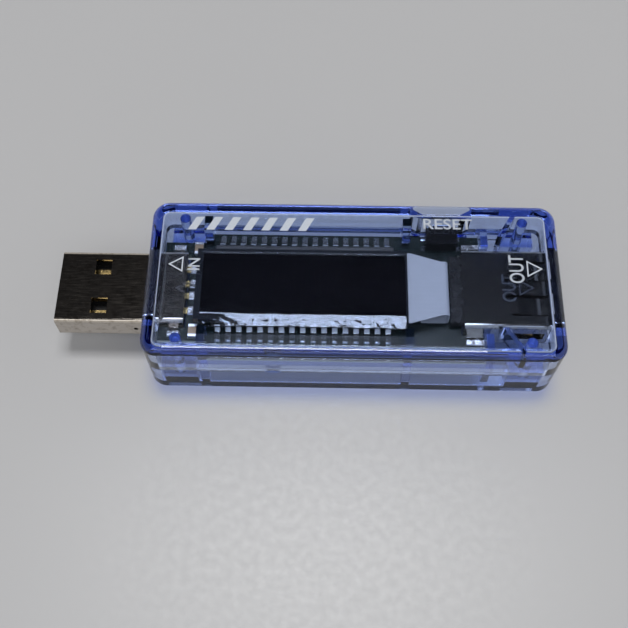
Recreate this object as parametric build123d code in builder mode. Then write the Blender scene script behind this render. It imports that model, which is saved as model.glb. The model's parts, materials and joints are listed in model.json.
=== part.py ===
"""USB power meter: a plug-in meter for USB voltage and current, in a clear two-part case.

A USB-A plug stands out of the left end and a USB-A socket opens at the right end.
Between them a circuit board carries a controller chip, a display and a reset switch.
X runs from the plug to the socket, Y to the side with the reset switch, Z upwards.
The origin is at the bottom centre of the whole meter, and all sizes are in millimetres.
"""

import os

from build123d import *

os.makedirs("parts", exist_ok=True)

# Case
case_length = 61.0
case_width = 25.5
case_height = 13.0
wall = 1.5
top_thickness = 1.2
floor_thickness = 1.2
plan_radius = 2.6
top_edge_radius = 1.1
bottom_edge_radius = 0.9
inner_radius = 0.5
fit_gap = 0.1

# Heights of the board and of the seam between the two halves of the case
board_level = 6.2
board_thickness = 1.0
seam_height = 6.8
seam_gap = 0.06

# Lip of the lower shell that stands up inside the cover
lip_thickness = 0.7
lip_root = 1.3
lip_rise = 1.1
lip_gap = 0.05

# Corner posts of the lower shell, and the cover's long pegs that sit in them
post_length = 5.0
post_width = 2.6
post_end_gap = 1.0
peg_radius = 0.8
peg_depth = 2.2
peg_gap = 0.05

# Ribs of the case
rib_thickness = 1.2
rib_overlap = 0.4
rib_gap = 0.05
clamp_film_gap = 0.25
cradle_thickness = 1.0
cradle_width = 6.3
brace_thickness = 0.8
brace_slant = 2.3
brace_gap = 1.0
brace_depth = 3.2
stop_rib_thickness = 1.1
stop_rib_height = 9.0
stop_rib_end = 7.3

# Slot in the front seam for opening the case
pry_slot_length = 2.6
pry_slot_height = 0.9
pry_slot_depth = 0.9
pry_slot_offset = -11.6

# Finger recess around the reset plunger, in the back wall
recess_width = 9.4
recess_floor_width = 5.6
recess_depth = 1.1
recess_wall = 0.8
recess_low = 3.4
recess_high = 10.6
recess_offset = 13.5

# USB-A plug
plug_exposed = 13.8
plug_length = 19.2
plug_width = 12.0
plug_height = 4.5
plug_lift = 0.3
sheet = 0.3
plug_corner = 0.6
plug_tongue_thickness = 1.95
plug_tongue_inset = 0.5
plug_block_length = 6.8
plug_window_length = 2.4
plug_window_width = 2.5
plug_window_inset = 5.2
plug_window_pitch = 6.5
plug_dimple_radius = 0.35
plug_dimple_inset = 11.9
plug_tab_length = 1.4
plug_tab_inset = 0.8
plug_tab_reach = 1.3

# USB-A socket
socket_length = 14.0
socket_width = 13.1
socket_height = 5.7
socket_lift = 0.5
socket_corner = 0.6
socket_tongue_thickness = 1.84
socket_tongue_width = 11.1
socket_tongue_inset = 1.0
socket_tongue_rise = 0.06
socket_block_length = 3.0
socket_hood_height = 1.3
socket_hood_gap = 0.1
socket_recess = 0.1
socket_tab_length = 2.4
socket_tab_inset = 0.5
socket_tab_reach = 1.5
spring_length = 6.8
spring_width = 3.4
spring_pitch = 5.75
spring_slit = 0.35
spring_margin = 0.9
spring_dip = 0.4
side_window_length = 5.6
side_window_height = 1.9
side_window_inset = 2.0

# USB contacts: names in pin order, places across the connector, and how far each is set back
pin_names = ("vbus", "data_minus", "data_plus", "ground")
pin_places = (3.5, 1.0, -1.0, -3.5)
pin_setbacks = (0.0, 1.0, 1.0, 0.0)
pin_width = 1.0
pin_thickness = 0.25
pin_inset = 1.4
pin_bend = 0.25
pin_foot = 1.5
pin_bow = 0.45
pin_bow_length = 1.4

# Circuit board
board_side_gap = 1.25
board_left_step = 2.3
plug_arm_end_gap = 0.1
plug_arm_gap = 0.25
socket_arm_length = 3.1
board_gap = 0.2

# Controller chip and its two rows of leads
lead_count = 17
lead_pitch = 1.58
lead_width = 0.8
lead_thickness = 0.2
lead_rows_offset = -7.35
lead_shoulder = 0.4
lead_slope = 0.4
lead_foot = 1.5
lead_bend = 0.15
lead_exit = 0.7
chip_width = 13.0
chip_shift = 0.6
chip_overhang = 1.0
chip_standoff = 0.1
chip_height = 1.8
chip_bevel = 0.25

# Display
display_length = 32.1
display_width = 11.8
display_offset = -7.35
display_shift = -0.4
pad_thickness = 0.2
pad_margin = 2.0
rear_glass_thickness = 0.65
front_glass_thickness = 0.55
glass_ledge = 0.6
polariser_thickness = 0.1
polariser_border = 0.95
flex_thickness = 0.12
flex_reach = 5.5
flex_root_width = 11.6
flex_tip_width = 8.9
flex_bend = 0.5
flex_return = 3.0
film_thickness = 0.12
film_gap = 0.02
film_end_margin = 0.5
film_overhang = 0.3
film_bend = 1.1
film_roundness = 0.9

# Reset switch
switch_offset = 13.6
switch_width = 4.8
switch_depth = 3.0
switch_height = 2.1
switch_overhang = 0.6
switch_sheet = 0.15
pocket_width = 3.6
pocket_height = 1.4
plunger_travel = 0.25
plunger_gap = 0.1
dome_gap = 0.05
plunger_shoulder = 0.15
stem_gap = 0.2
tip_radius = 0.15
plunger_flange = 0.4
plunger_width = 2.4
plunger_height = 0.8
plunger_proud = 0.2
dome_thickness = 0.1
dome_rise = 0.35
dome_half = 1.4
terminal_length = 0.6
terminal_width = 0.7
terminal_thickness = 0.2
terminal_pitch = 1.7

# Small parts on the board
solder_height = 0.4
solder_margin = 0.2
solder_bead = 0.9
solder_bevel = 0.1
shunt_length = 6.3
shunt_width = 3.2
shunt_height = 0.6
shunt_cap = 1.2
shunt_offset = -22.0
memory_length = 4.9
memory_width = 3.9
memory_height = 1.5
memory_lead_places = (-1.905, -0.635, 0.635, 1.905)
memory_offset = 4.0
regulator_length = 2.9
regulator_width = 1.6
regulator_height = 1.1
regulator_lead_places = ((-0.95, 0.95), (-0.95, 0.0, 0.95))
amplifier_lead_places = ((-0.95, 0.0, 0.95), (-0.95, 0.95))
regulator_offset = -11.0
regulator_edge_gap = 5.0
small_lead_width = 0.42
small_lead_thickness = 0.15
small_lead_reach = 0.5
small_lead_foot = 0.45
small_lead_bend = 0.1
small_chip_bevel = 0.15
chip_part_length = 2.0
chip_part_width = 1.25
resistor_height = 0.5
capacitor_height = 0.9
chip_part_cap = 0.4
chip_part_pitch = 1.9
chip_part_edge_gap = 3.35
input_part_y = 7.0

# Places that follow from the sizes above
overall_length = case_length + plug_exposed
tip = -overall_length / 2
case_left = tip + plug_exposed
case_right = case_left + case_length
middle = (case_left + case_right) / 2
inner_width = case_width - 2 * wall
inner_length = case_length - 2 * wall
board_width = inner_width - 2 * board_side_gap
ceiling = case_height - top_thickness
board_top = board_level + board_thickness

plug_z = board_level + plug_lift
plug_rear = tip + plug_length
plug_block_front = plug_rear - plug_block_length
plug_floor = plug_z - plug_height / 2 + sheet
plug_tongue_top = plug_floor + plug_tongue_thickness
plug_bottom = plug_z - plug_height / 2
plug_inner_width = plug_width - 2 * sheet
plug_inner_height = plug_height - 2 * sheet
plug_tongue_width = plug_inner_width - 2 * (plug_corner - sheet)
plug_tab_x = plug_rear - plug_tab_inset - plug_tab_length / 2

socket_z = board_level + socket_lift
socket_mouth = case_right - socket_recess
socket_rear = socket_mouth - socket_length
socket_tongue_low = socket_z + socket_tongue_rise
socket_tongue_end = socket_mouth - socket_tongue_inset
socket_bottom = socket_z - socket_height / 2
socket_top = socket_z + socket_height / 2
socket_inner_width = socket_width - 2 * sheet
socket_inner_height = socket_height - 2 * sheet
socket_tab_x = socket_rear + socket_tab_inset + socket_tab_length / 2
socket_rib_x = socket_rear + socket_block_length / 2
spring_x = socket_mouth - spring_margin - spring_length / 2

board_left = plug_rear + board_gap
main_left = board_left + board_left_step
plug_arm_length = board_left - (case_left + wall + plug_arm_end_gap)
plug_arm_total = plug_arm_length + board_left_step
plug_arm_width = inner_width - 2 * (post_width + plug_arm_gap)
notch_left = socket_rear - board_gap
board_right = notch_left + socket_arm_length + board_gap
stop_x = board_right + rib_gap + stop_rib_thickness / 2
brace_foot_x = board_right + stop_rib_thickness + brace_slant + brace_gap
plug_rib_x = plug_block_front + plug_block_length / 2

post_x = inner_length / 2 - post_end_gap - post_length / 2
post_y = inner_width / 2 - post_width / 2
lip_inner = inner_width / 2 - lip_gap - lip_thickness
lip_length = 2 * post_x - post_length - 2 * fit_gap
lip_break = recess_width / 2 + recess_wall + fit_gap

back_face = case_width / 2
recess_floor_y = back_face - recess_depth
recess_inner_y = recess_floor_y - recess_wall
recess_slope = (recess_width - recess_floor_width) / 2 / recess_depth
recess_x = middle + recess_offset

chip_middle = middle + lead_rows_offset
chip_bottom = board_top + chip_standoff
chip_top = chip_bottom + chip_height
lead_rows_length = (lead_count - 1) * lead_pitch
lead_level = chip_top - lead_exit * chip_height / 2

display_middle = middle + display_offset
display_bottom = chip_top + pad_thickness
front_glass_bottom = display_bottom + rear_glass_thickness
polariser_bottom = front_glass_bottom + front_glass_thickness
display_top = polariser_bottom + polariser_thickness
display_right = display_middle + display_length / 2
film_edge = display_shift - display_width / 2 - film_overhang - film_bend

switch_x = middle + switch_offset
switch_front = board_width / 2 + switch_overhang
switch_middle_y = switch_front - switch_depth / 2
switch_top = board_top + switch_height
plunger_z = board_top + switch_height / 2
plunger_tip = recess_floor_y + plunger_proud
flange_front = switch_front - switch_sheet - plunger_gap
flange_rear = flange_front - plunger_flange
pocket_rear = flange_rear - plunger_travel - dome_gap - dome_rise - dome_thickness


def save(piece, name):
    """Name a finished piece and write its file."""
    piece.label = name
    export_step(piece, f"parts/{name}.step")


def block(x_range, y_range, z_range):
    """A plain block between two values on each axis."""
    with BuildPart() as solid:
        with BuildSketch(Plane.XY.offset(z_range[0])):
            with Locations((sum(x_range) / 2, sum(y_range) / 2)):
                Rectangle(abs(x_range[1] - x_range[0]), abs(y_range[1] - y_range[0]))
        extrude(amount=z_range[1] - z_range[0])
    return solid.part


def centred_block(x, y, length, width, z_range):
    """A plain block with its plan centred on x and y."""
    return block((x - length / 2, x + length / 2), (y - width / 2, y + width / 2), z_range)


def slab(length, width, radius, z_range):
    """A slab with rounded plan corners, centred on the case."""
    with BuildPart() as solid:
        with BuildSketch(Plane.XY.offset(z_range[0])):
            with Locations((middle, 0)):
                RectangleRounded(length, width, radius)
        extrude(amount=z_range[1] - z_range[0])
    return solid.part


def bar(x_range, width, height, corner, z):
    """A bar along X with rounded edges, for the connectors and their openings."""
    with BuildPart() as solid:
        with BuildSketch(Plane.YZ.offset(x_range[0])):
            with Locations((0, z)):
                RectangleRounded(width, height, corner)
        extrude(amount=x_range[1] - x_range[0])
    return solid.part


def prism(points, z_range):
    """An upright prism on a plan."""
    with BuildPart() as solid:
        with BuildSketch(Plane.XY.offset(z_range[0])):
            Polygon(*points, align=None)
        extrude(amount=z_range[1] - z_range[0])
    return solid.part


def strip(plane, points, width, thickness, bend):
    """A bent strip of sheet that follows points in a plane and is centred on it."""
    with BuildPart() as bent:
        with BuildSketch(plane):
            with BuildLine():
                FilletPolyline(*points, radius=bend)
            trace(line_width=thickness)
        extrude(amount=width / 2, both=True)
    return bent.part


def strip_along_x(points, y, width, thickness, bend):
    """A bent strip that runs along X, from points given as X and Z."""
    return strip(Plane.XZ.offset(-y), points, width, thickness, bend)


def strip_along_y(points, x, width, thickness, bend):
    """A bent strip that runs along Y, from points given as Y and Z."""
    return strip(Plane.YZ.offset(x), points, width, thickness, bend)


# ---- The two halves of the case ----
def half_shell(outer_z, hollow_z, edge_radius, closed_side):
    """One half of the case as a tray; closed_side is 0 for its bottom or -1 for its top."""
    with BuildPart() as hollow:
        add(slab(inner_length, inner_width, plan_radius - wall, hollow_z))
        fillet(hollow.faces().sort_by(Axis.Z)[closed_side].edges(), inner_radius)
    with BuildPart() as tray:
        add(slab(case_length, case_width, plan_radius, outer_z))
        fillet(tray.faces().sort_by(Axis.Z)[closed_side].edges(), edge_radius)
        add(hollow.part, mode=Mode.SUBTRACT)
    return tray.part


def recess_plan(floor_y, spread, outer_y):
    """The plan of the finger recess from outer_y in to floor_y, wider by spread."""
    near = recess_floor_width / 2 + spread
    far = near + recess_slope * (outer_y - floor_y)
    return [
        (recess_x - far, outer_y),
        (recess_x - near, floor_y),
        (recess_x + near, floor_y),
        (recess_x + far, outer_y),
    ]


def recess_backing(z_range):
    """The wall that closes the finger recess on the inside."""
    return prism(recess_plan(recess_inner_y, recess_wall, recess_floor_y), z_range)


def case_openings():
    """What both halves leave free: the plug, the socket, the recess and the plunger."""
    plug_hole = (plug_width + 2 * fit_gap, plug_height + 2 * fit_gap, plug_corner + fit_gap)
    socket_hole = (socket_width + 2 * fit_gap, socket_height + 2 * fit_gap, socket_corner + fit_gap)
    with BuildPart() as openings:
        add(bar((case_left - wall, case_left + 2 * wall), *plug_hole, plug_z))
        add(bar((case_right - 2 * wall, case_right + wall), *socket_hole, socket_z))
        add(prism(recess_plan(recess_floor_y, 0, back_face + wall), (recess_low, recess_high)))
        with BuildSketch(Plane.XZ.offset(-recess_inner_y + wall)):
            with Locations((switch_x, plunger_z)):
                RectangleRounded(plunger_width + 2 * stem_gap, plunger_height + 2 * stem_gap, stem_gap)
        extrude(amount=-2 * wall - recess_wall)
    return openings.part


def pry_slot():
    """The lens-shaped slot in the front seam."""
    half_length = pry_slot_length / 2
    half_height = pry_slot_height / 2
    x = middle + pry_slot_offset
    with BuildPart() as slot:
        with BuildSketch(Plane.XZ.offset(back_face - pry_slot_depth)):
            with BuildLine():
                for rise in (half_height, -half_height):
                    ThreePointArc((x - half_length, seam_height), (x, seam_height + rise),
                                  (x + half_length, seam_height))
            make_face()
        extrude(amount=pry_slot_depth + wall)
    return slot.part


def post_places():
    """The four corners where the halves of the case are pegged together."""
    return [(middle + i * post_x, j * post_y) for i in (-1, 1) for j in (-1, 1)]


def clamp_reach():
    """How far the clamping ribs reach in from the lip, short of the display's film."""
    return lip_inner - rib_gap + film_edge - clamp_film_gap


def clamp_places():
    """Where ribs of both halves hold the two long edges of the board."""
    left = main_left + rib_thickness / 2 + rib_gap
    right = display_right - glass_ledge
    return [(x, side) for x in (left, right) for side in (-1, 1)]


def brace_plan(side):
    """The plan of one slanted brace, from the side wall towards the socket."""
    foot_y = side * (inner_width / 2 + fit_gap)
    head_y = side * (socket_width / 2 + brace_gap)
    head_x = brace_foot_x - brace_slant
    return [
        (brace_foot_x, foot_y),
        (head_x, head_y),
        (head_x + brace_thickness, head_y),
        (brace_foot_x + brace_thickness, foot_y),
    ]


with BuildPart() as top_cover:
    cover_edge = seam_height + seam_gap
    add(half_shell((cover_edge, case_height), (cover_edge, ceiling), top_edge_radius, -1))
    add(recess_backing((cover_edge, recess_high + recess_wall)))
    for x, side in clamp_places():
        clamp_y = side * (lip_inner - rib_gap - clamp_reach() / 2)
        add(centred_block(x, clamp_y, rib_thickness, clamp_reach(), (board_top, ceiling)))
    for side in (-1, 1):
        add(prism(brace_plan(side), (ceiling - brace_depth, ceiling)))
    add(case_openings(), mode=Mode.SUBTRACT)
    add(pry_slot(), mode=Mode.SUBTRACT)
    with Locations(*[(x, y, ceiling) for x, y in post_places()]):
        Cylinder(peg_radius, ceiling - seam_height + peg_depth,
                 align=(Align.CENTER, Align.CENTER, Align.MAX))
save(top_cover.part, "top_cover")

with BuildPart() as bottom_shell:
    add(half_shell((0, seam_height), (floor_thickness, seam_height), bottom_edge_radius, 0))
    for side in (-1, 1):
        ledge_y = side * (lip_inner + inner_width / 2) / 2
        ledge_width = inner_width / 2 - lip_inner
        add(centred_block(middle, ledge_y, lip_length, ledge_width, (seam_height - lip_root, seam_height)))
        lip_y = side * (lip_inner + lip_thickness / 2)
        add(centred_block(middle, lip_y, lip_length, lip_thickness, (seam_height, seam_height + lip_rise)))
    add(block((recess_x - lip_break, recess_x + lip_break), (recess_inner_y - wall, inner_width / 2),
              (seam_height, seam_height + lip_rise)), mode=Mode.SUBTRACT)
    add(recess_backing((recess_low - recess_wall, seam_height)))
    for x, y in post_places():
        add(centred_block(x, y, post_length, post_width, (floor_thickness, seam_height)))
    for x, side in clamp_places():
        support_y = side * (board_width / 2 + (inner_width - board_width) / 4 - rib_overlap / 2)
        support_width = (inner_width - board_width) / 2 + rib_overlap
        add(centred_block(x, support_y, rib_thickness, support_width, (floor_thickness, board_level)))
    for side in (-1, 1):
        stop_y = side * (stop_rib_end + lip_inner) / 2
        add(centred_block(stop_x, stop_y, stop_rib_thickness, lip_inner - stop_rib_end,
                          (floor_thickness, stop_rib_height)))
    add(centred_block(plug_rib_x, 0, cradle_thickness, cradle_width, (floor_thickness, plug_bottom)))
    add(centred_block(socket_rib_x, 0, cradle_thickness, cradle_width, (floor_thickness, socket_bottom)))
    add(case_openings(), mode=Mode.SUBTRACT)
    add(pry_slot(), mode=Mode.SUBTRACT)
    with Locations(*[(x, y, seam_height) for x, y in post_places()]):
        Cylinder(peg_radius + peg_gap, peg_depth + fit_gap,
                 align=(Align.CENTER, Align.CENTER, Align.MAX), mode=Mode.SUBTRACT)
save(bottom_shell.part, "bottom_shell")


# ---- USB-A plug ----
def plug_contact(place, setback):
    """One spring contact of the plug, from its tongue to its foot on the board."""
    level = plug_tongue_top - pin_thickness / 2
    foot_level = board_top + pin_thickness / 2
    rise_x = plug_rear - sheet
    points = [
        (tip + pin_inset + setback, level),
        (rise_x, level),
        (rise_x + pin_bend, foot_level),
        (board_left + pin_foot, foot_level),
    ]
    return strip_along_x(points, place, pin_width, pin_thickness, pin_bend / 2)


plug_contacts = []
for pin_name, place, setback in zip(pin_names, pin_places, pin_setbacks):
    contact = plug_contact(place, setback)
    save(contact, f"plug_contact_{pin_name}")
    plug_contacts.append(contact)

with BuildPart() as plug_insulator:
    add(block((tip + plug_tongue_inset, plug_block_front),
              (-plug_tongue_width / 2, plug_tongue_width / 2), (plug_floor, plug_tongue_top)))
    add(bar((plug_block_front, plug_rear), plug_inner_width, plug_inner_height, plug_corner - sheet, plug_z))
    fillet(plug_insulator.edges().filter_by(Axis.Y).sort_by(Axis.X)[:2], pin_bend)
    for contact in plug_contacts:
        add(contact, mode=Mode.SUBTRACT)
save(plug_insulator.part, "plug_insulator")

with BuildPart() as plug_shell:
    add(bar((tip, plug_rear), plug_width, plug_height, plug_corner, plug_z))
    add(bar((tip, plug_rear), plug_inner_width, plug_inner_height, plug_corner - sheet, plug_z),
        mode=Mode.SUBTRACT)
    with BuildSketch(Plane.XY.offset(plug_bottom - sheet)):
        with Locations((tip + plug_window_inset + plug_window_length / 2, 0)):
            with GridLocations(0, plug_window_pitch, 1, 2):
                Rectangle(plug_window_length, plug_window_width)
    extrude(amount=plug_height + 2 * sheet, mode=Mode.SUBTRACT)
    with BuildSketch(Plane.XZ.offset(-plug_width / 2 - sheet)):
        with Locations((tip + plug_dimple_inset, plug_z)):
            Circle(plug_dimple_radius)
    extrude(amount=plug_width + 2 * sheet, mode=Mode.SUBTRACT)
    for side in (-1, 1):
        tab_y = side * (plug_width + plug_tab_reach - sheet) / 2
        add(centred_block(plug_tab_x, tab_y, plug_tab_length, plug_tab_reach + sheet,
                          (board_top, board_top + sheet)))
save(plug_shell.part, "plug_shell")


# ---- USB-A socket ----
def socket_contact(place, setback):
    """One spring contact of the socket, bowed under the tongue, with its foot on the board."""
    level = socket_tongue_low + pin_thickness / 2
    foot_level = board_top + pin_thickness / 2
    front = socket_tongue_end - pin_inset - setback
    points = [
        (front, level),
        (front - pin_bow_length, level - pin_bow),
        (front - 2 * pin_bow_length, level),
        (socket_rear + 2 * pin_bend, level),
        (socket_rear + pin_bend, foot_level),
        (notch_left - pin_foot, foot_level),
    ]
    return strip_along_x(points, place, pin_width, pin_thickness, pin_bend / 2)


socket_contacts = []
for pin_name, place, setback in zip(pin_names, pin_places, pin_setbacks):
    contact = socket_contact(place, setback)
    save(contact, f"socket_contact_{pin_name}")
    socket_contacts.append(contact)

with BuildPart() as socket_insulator:
    add(bar((socket_rear, socket_rear + socket_block_length), socket_inner_width, socket_inner_height,
            socket_corner - sheet, socket_z))
    add(block((socket_rear, socket_tongue_end), (-socket_tongue_width / 2, socket_tongue_width / 2),
              (socket_tongue_low, socket_tongue_low + socket_tongue_thickness)))
    hood_low = board_top + solder_height + socket_hood_gap
    add(block((notch_left - pin_foot - solder_margin, socket_rear),
              (-socket_tongue_width / 2, socket_tongue_width / 2),
              (hood_low, hood_low + socket_hood_height)))
    fillet(socket_insulator.edges().filter_by(Axis.Y).sort_by(Axis.X)[-2:], pin_bend)
    for contact in socket_contacts:
        add(contact, mode=Mode.SUBTRACT)
save(socket_insulator.part, "socket_insulator")


with BuildPart() as socket_shell:
    add(bar((socket_rear, socket_mouth), socket_width, socket_height, socket_corner, socket_z))
    add(bar((socket_rear, socket_mouth), socket_inner_width, socket_inner_height, socket_corner - sheet,
            socket_z), mode=Mode.SUBTRACT)
    for side in (-1, 1):
        spring_y = side * spring_pitch / 2
        leaf_width = spring_width - 2 * spring_slit
        with BuildSketch(Plane.XY.offset(socket_bottom - sheet)):
            with Locations((spring_x, spring_y)):
                Rectangle(spring_length, spring_width)
        extrude(amount=socket_height + 2 * sheet, mode=Mode.SUBTRACT)
        for face_z, inward in ((socket_top - sheet / 2, -1), (socket_bottom + sheet / 2, 1)):
            leaf = [
                (spring_x - spring_length / 2 - sheet, face_z),
                (spring_x - spring_length / 4, face_z),
                (spring_x + spring_length / 4, face_z + inward * spring_dip),
                (spring_x + spring_length / 2 - spring_slit, face_z),
            ]
            add(strip_along_x(leaf, spring_y, leaf_width, sheet, sheet))
        with BuildSketch(Plane.XZ.offset(-side * (socket_width / 2 - 2 * sheet))):
            with Locations((socket_mouth - side_window_inset - side_window_length / 2, socket_z)):
                Rectangle(side_window_length, side_window_height)
        extrude(amount=-side * 3 * sheet, mode=Mode.SUBTRACT)
        tab_y = side * (socket_width + socket_tab_reach - sheet) / 2
        add(centred_block(socket_tab_x, tab_y, socket_tab_length, socket_tab_reach + sheet,
                          (board_top, board_top + sheet)))
save(socket_shell.part, "socket_shell")

# ---- Circuit board ----
with BuildPart() as circuit_board:
    with BuildSketch(Plane.XY.offset(board_level)):
        with Locations(((main_left + board_right) / 2, 0)):
            Rectangle(board_right - main_left, board_width)
        with Locations((main_left - plug_arm_total / 2, 0)):
            Rectangle(plug_arm_total, plug_arm_width)
        with Locations((board_left - plug_arm_length / 2, 0)):
            Rectangle(plug_arm_length, plug_width + 2 * board_gap, mode=Mode.SUBTRACT)
        with Locations(((notch_left + board_right) / 2, 0)):
            Rectangle(board_right - notch_left, socket_width + 2 * board_gap, mode=Mode.SUBTRACT)
    extrude(amount=board_thickness)
save(circuit_board.part, "circuit_board")


# ---- Controller chip and its leads ----
with BuildPart() as controller_chip:
    add(centred_block(chip_middle, chip_shift, lead_rows_length + 2 * chip_overhang, chip_width,
                      (chip_bottom, chip_top)))
    chamfer(controller_chip.faces().sort_by(Axis.Z)[-1].edges(), chip_bevel)
save(controller_chip.part, "controller_chip")

with BuildPart() as controller_leads:
    foot_level = board_top + lead_thickness / 2
    for side in (-1, 1):
        root = chip_shift + side * chip_width / 2
        knee = root + side * lead_shoulder
        ankle = knee + side * lead_slope
        lead_run = [
            (root, lead_level),
            (knee, lead_level),
            (ankle, foot_level),
            (ankle + side * lead_foot, foot_level),
        ]
        lead = strip_along_y(lead_run, chip_middle, lead_width, lead_thickness, lead_bend)
        with GridLocations(lead_pitch, 0, lead_count, 1):
            add(lead)
save(controller_leads.part, "controller_leads")


# ---- Display ----
def display_layer(length, width, z_range, right_cut=0.0):
    """One flat layer of the display, cut short at its right end."""
    return centred_block(display_middle - right_cut / 2, display_shift, length - right_cut, width, z_range)


save(display_layer(lead_rows_length, display_width - 2 * pad_margin, (chip_top, display_bottom)),
     "display_pad")
save(display_layer(display_length, display_width, (display_bottom, front_glass_bottom)),
     "display_rear_glass")
save(display_layer(display_length, display_width, (front_glass_bottom, polariser_bottom), glass_ledge),
     "display_front_glass")
save(display_layer(display_length - 2 * polariser_border, display_width - 2 * polariser_border,
                   (polariser_bottom, display_top)), "display_polariser")

flex_start = display_right - glass_ledge + fit_gap / 2
flex_end = display_right + flex_reach - 2 * flex_bend
flex_root = flex_root_width / 2
flex_tip = flex_tip_width / 2
flex_plan = [
    (flex_start, display_shift - flex_root),
    (display_right, display_shift - flex_root),
    (flex_end, display_shift - flex_tip),
    (flex_end, display_shift + flex_tip),
    (display_right, display_shift + flex_root),
    (flex_start, display_shift + flex_root),
]
flex_fold = [
    (flex_end - flex_bend, front_glass_bottom + flex_thickness / 2),
    (flex_end + 2 * flex_bend, front_glass_bottom + flex_thickness / 2),
    (flex_end + 2 * flex_bend, board_top + flex_thickness / 2),
    (flex_end - flex_return, board_top + flex_thickness / 2),
]
with BuildPart() as display_flex:
    add(prism(flex_plan, (front_glass_bottom, front_glass_bottom + flex_thickness)))
    add(strip_along_x(flex_fold, display_shift, flex_tip_width, flex_thickness, flex_bend))
save(display_flex.part, "display_flex")

film_level = display_top + film_gap + film_thickness / 2
film_run = [
    (display_shift + display_width / 2 - film_end_margin, film_level),
    (film_edge, film_level),
    (film_edge, film_level - film_bend),
]
film_length = display_length - glass_ledge - 2 * film_end_margin
save(strip_along_y(film_run, display_middle, film_length, film_thickness, film_bend * film_roundness),
     "display_film")

# ---- Reset switch ----
switch_rear = switch_front - switch_depth
switch_inner_front = switch_front - switch_sheet
switch_inner_top = switch_top - switch_sheet
switch_x_range = (switch_x - switch_width / 2, switch_x + switch_width / 2)
pocket_x_range = (switch_x - pocket_width / 2, switch_x + pocket_width / 2)
pocket_z_range = (plunger_z - pocket_height / 2, plunger_z + pocket_height / 2)
stem_z_range = (plunger_z - plunger_height / 2, plunger_z + plunger_height / 2)

with BuildPart() as reset_switch_base:
    add(block(switch_x_range, (switch_rear, switch_inner_front), (board_top, switch_inner_top)))
    add(block(pocket_x_range, (pocket_rear, switch_inner_front), pocket_z_range), mode=Mode.SUBTRACT)
save(reset_switch_base.part, "reset_switch_base")

with BuildPart() as reset_switch_frame:
    add(block(switch_x_range, (switch_rear, switch_front), (board_top, switch_top)))
    add(block(switch_x_range, (switch_rear, switch_inner_front), (board_top, switch_inner_top)),
        mode=Mode.SUBTRACT)
    add(centred_block(switch_x, switch_front, plunger_width + 2 * stem_gap, 2 * switch_sheet,
                      (stem_z_range[0] - plunger_gap, stem_z_range[1] + plunger_gap)),
        mode=Mode.SUBTRACT)
save(reset_switch_frame.part, "reset_switch_frame")

with BuildPart() as reset_switch_plunger:
    add(block((pocket_x_range[0] + stem_gap, pocket_x_range[1] - stem_gap), (flange_rear, flange_front),
              (stem_z_range[0] - plunger_shoulder, stem_z_range[1] + plunger_shoulder)))
    add(centred_block(switch_x, (flange_front + plunger_tip) / 2, plunger_width,
                      plunger_tip - flange_front, stem_z_range))
    fillet(reset_switch_plunger.faces().sort_by(Axis.Y)[-1].edges(), tip_radius)
save(reset_switch_plunger.part, "reset_switch_plunger")

with BuildPart() as reset_switch_dome:
    with BuildSketch(Plane.XY.offset(pocket_z_range[0])):
        with BuildLine():
            for rear in (pocket_rear, pocket_rear + dome_thickness):
                ThreePointArc((switch_x - dome_half, rear), (switch_x, rear + dome_rise),
                              (switch_x + dome_half, rear))
            for end_x in (switch_x - dome_half, switch_x + dome_half):
                Line((end_x, pocket_rear), (end_x, pocket_rear + dome_thickness))
        make_face()
    extrude(amount=pocket_height)
save(reset_switch_dome.part, "reset_switch_dome")

with BuildPart() as reset_switch_terminals:
    with BuildSketch(Plane.XY.offset(board_top)):
        with Locations((switch_x, switch_middle_y - terminal_width / 2)):
            with GridLocations(switch_width + terminal_length, terminal_pitch, 2, 2):
                Rectangle(terminal_length, terminal_width)
    extrude(amount=terminal_thickness)
save(reset_switch_terminals.part, "reset_switch_terminals")


# ---- Small parts under the board ----
def small_chip(x, y, length, width, height):
    """The body of a small moulded chip that hangs under the board."""
    low = board_level - chip_standoff - height
    with BuildPart() as body:
        add(centred_block(x, y, length, width, (low, low + height)))
        chamfer(body.faces().sort_by(Axis.Z)[0].edges(), small_chip_bevel)
    return body.part


def small_leads(x, y, width, height, rows):
    """The leads of a small chip; rows gives their places along its front and back sides."""
    body_level = board_level - chip_standoff - height / 2
    foot_level = board_level - small_lead_thickness / 2
    with BuildPart() as leads:
        for side, places in zip((-1, 1), rows):
            side_y = y + side * width / 2
            run = [
                (side_y, body_level),
                (side_y + side * small_lead_reach, body_level),
                (side_y + side * small_lead_reach, foot_level),
                (side_y + side * (small_lead_reach + small_lead_foot), foot_level),
            ]
            lead = strip_along_y(run, x, small_lead_width, small_lead_thickness, small_lead_bend)
            with Locations(*[(place, 0, 0) for place in places]):
                add(lead)
    return leads.part


memory_x = middle + memory_offset
save(small_chip(memory_x, 0, memory_length, memory_width, memory_height), "memory_chip")
save(small_leads(memory_x, 0, memory_width, memory_height, (memory_lead_places, memory_lead_places)),
     "memory_leads")

regulator_x = middle + regulator_offset
regulator_y = board_width / 2 - regulator_edge_gap
save(small_chip(regulator_x, regulator_y, regulator_length, regulator_width, regulator_height),
     "voltage_regulator")
save(small_leads(regulator_x, regulator_y, regulator_width, regulator_height, regulator_lead_places),
     "regulator_leads")
save(small_chip(regulator_x, -regulator_y, regulator_length, regulator_width, regulator_height),
     "current_amplifier")
save(small_leads(regulator_x, -regulator_y, regulator_width, regulator_height, amplifier_lead_places),
     "amplifier_leads")


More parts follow.
